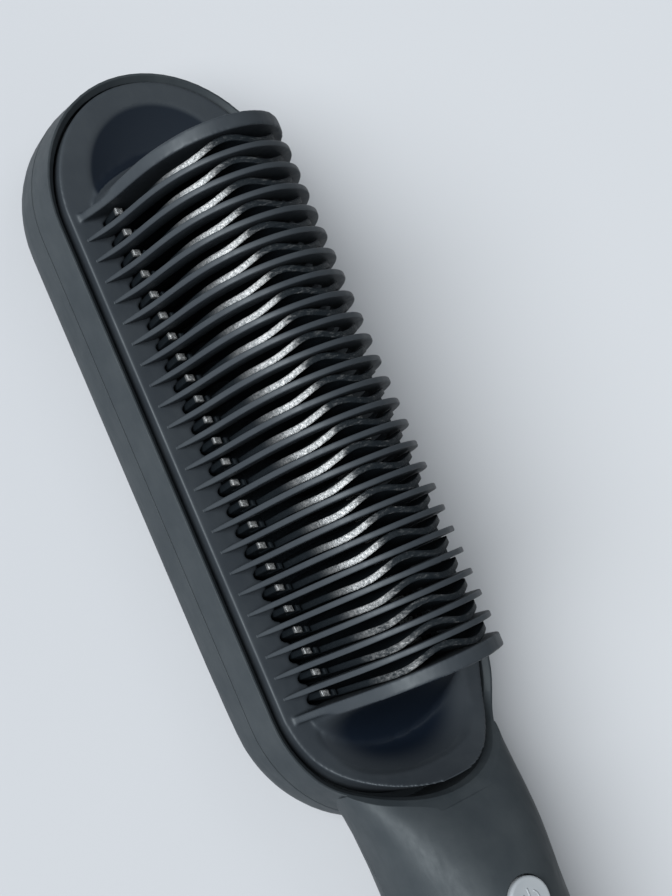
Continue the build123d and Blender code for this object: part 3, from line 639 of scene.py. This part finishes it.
def on_dish_surface(place, normal):
    """Whether a face belongs to a dish, or to the face of the end fin that looks to the neck.

    A dish's face lies less than skin over the height that the frame should have there, or past
    the upright part of the web at the neck.
    """
    least_z, skin, web_run, toward_neck = 16, 0.9, 2.2, -0.6
    x, y, z = place
    if z <= least_z:
        return False
    end_face = x < LAST_FIN_X and abs(y) < DISH_HALF and normal.x < toward_neck
    low = z < frame_height(x, y) + skin or x < LAST_FIN_X - web_run
    return end_face or in_dish(x, y) and low


def smooth(form, verts, times):
    """Smooth the given vertices, several times over."""
    for _ in range(times):
        bmesh.ops.smooth_vert(form, verts=verts, factor=0.5, use_axis_x=True, use_axis_y=True,
                              use_axis_z=True)


def comb_guard():
    """The guard as one piece: its frame, remeshed and smoothed, and the fins between its ends."""
    voxel, kept_share = 0.28, 0.4
    dish_low_z, dish_high_z, dish_times, all_times = 15.8, 32, 30, 3
    mesh = modified("frame", frame_of_guard(), "REMESH", mode="VOXEL", voxel_size=voxel)
    form = bmesh.new()
    form.from_mesh(mesh)
    dishes = [v for v in form.verts
              if in_dish(v.co.x, v.co.y) and dish_low_z < v.co.z < dish_high_z]
    smooth(form, dishes, dish_times)
    smooth(form, form.verts, all_times)
    form.to_mesh(mesh)
    form.free()
    mesh = modified("frame", mesh, "DECIMATE", ratio=kept_share)
    form = bmesh.new()
    form.from_mesh(mesh)
    # Dish faces and the end fin's face towards the neck take the plastic with painted shade.
    for face in form.faces:
        if on_dish_surface(face.calc_center_median(), face.normal):
            face.material_index = 1
    for i in range(1, FIN_COUNT - 1):
        add_fin(form, fin_x(i))
    bmesh.ops.scale(form, vec=(MM, MM, MM), verts=form.verts)
    piece = piece_of("comb_guard_soft", form, "housing", guard_plastic)
    piece.data.materials.append(shaded_dish_plastic())
    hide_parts("comb_guard")


comb_guard()
power_symbol()


# Camera, as worked out from the photograph: pixels of its frame, then metres and directions

WIDTH, HEIGHT = 672, 896
FOCAL_PX, CENTRE_X, CENTRE_Y = 1464.6559, 258.4490, 585.8031
PLACE = (0.03828028, 0.14015235, 0.24324152)
RIGHT = (-0.39298012, -0.80987049, 0.43551857)
UP = (0.91910365, -0.3312365, 0.21337963)
BACK = (-0.02855022, 0.48414066, 0.87452428)

lens = bpy.data.cameras.new("camera")
lens.sensor_fit = "HORIZONTAL"
lens.sensor_width = 36
lens.lens = FOCAL_PX * lens.sensor_width / WIDTH
lens.shift_x = (WIDTH / 2 - CENTRE_X) / WIDTH
lens.shift_y = (CENTRE_Y - HEIGHT / 2) / WIDTH
lens.clip_start, lens.clip_end = 0.01, 20
camera = bpy.data.objects.new("camera", lens)
bpy.context.scene.collection.objects.link(camera)
camera.matrix_world = Matrix([*zip(RIGHT, UP, BACK, PLACE), (0, 0, 0, 1)])
bpy.context.scene.camera = camera


# Floor, world and lamps, in metres

FLOOR_SIZE, FLOOR_DROP = 6, 0.0005
HEAD_MIDDLE = (0.05, 0, 0.02)


def floor_material():
    """Pale matt table top with very soft clouds."""
    material, tree, shader = graph("floor")
    shader.inputs["Roughness"].default_value = 0.8
    shader.inputs["Specular IOR Level"].default_value = 0.2
    clouds = noise(tree, 0.004, detail=2, rough=0.5)
    tree.links.new(mix_colour(tree, clouds, (0.53, 0.56, 0.60), (0.58, 0.61, 0.64)),
                   shader.inputs["Base Color"])
    return material


def lamp(name, place, kind, power, **values):
    """A lamp that points at the middle of the head."""
    data = bpy.data.lights.new(name, kind)
    data.energy = power
    for key, value in values.items():
        setattr(data, key, value)
    light = bpy.data.objects.new(name, data)
    bpy.context.scene.collection.objects.link(light)
    light.location = place
    toward = Vector(HEAD_MIDDLE) - Vector(place)
    light.rotation_euler = toward.to_track_quat("-Z", "Y").to_euler()


bpy.ops.mesh.primitive_plane_add(size=FLOOR_SIZE, location=(0, 0, -FLOOR_DROP))
floor = bpy.context.object
floor.name = "floor"
floor.data.materials.append(floor_material())

world = bpy.data.worlds.new("world")
bpy.context.scene.world = world
world.use_nodes = True
background = world.node_tree.nodes["Background"]
background.inputs["Color"].default_value = (0.80, 0.84, 0.88, 1)
background.inputs["Strength"].default_value = 0.19

lamp("window", (0.15, 1.60, 1.48), "SUN", 4.75, angle=math.radians(42))
lamp("fill", (0.35, -0.35, 0.85), "AREA", 0.5, size=0.5)

bpy.context.scene.view_settings.view_transform = "Standard"

bpy.context.view_layer.update()
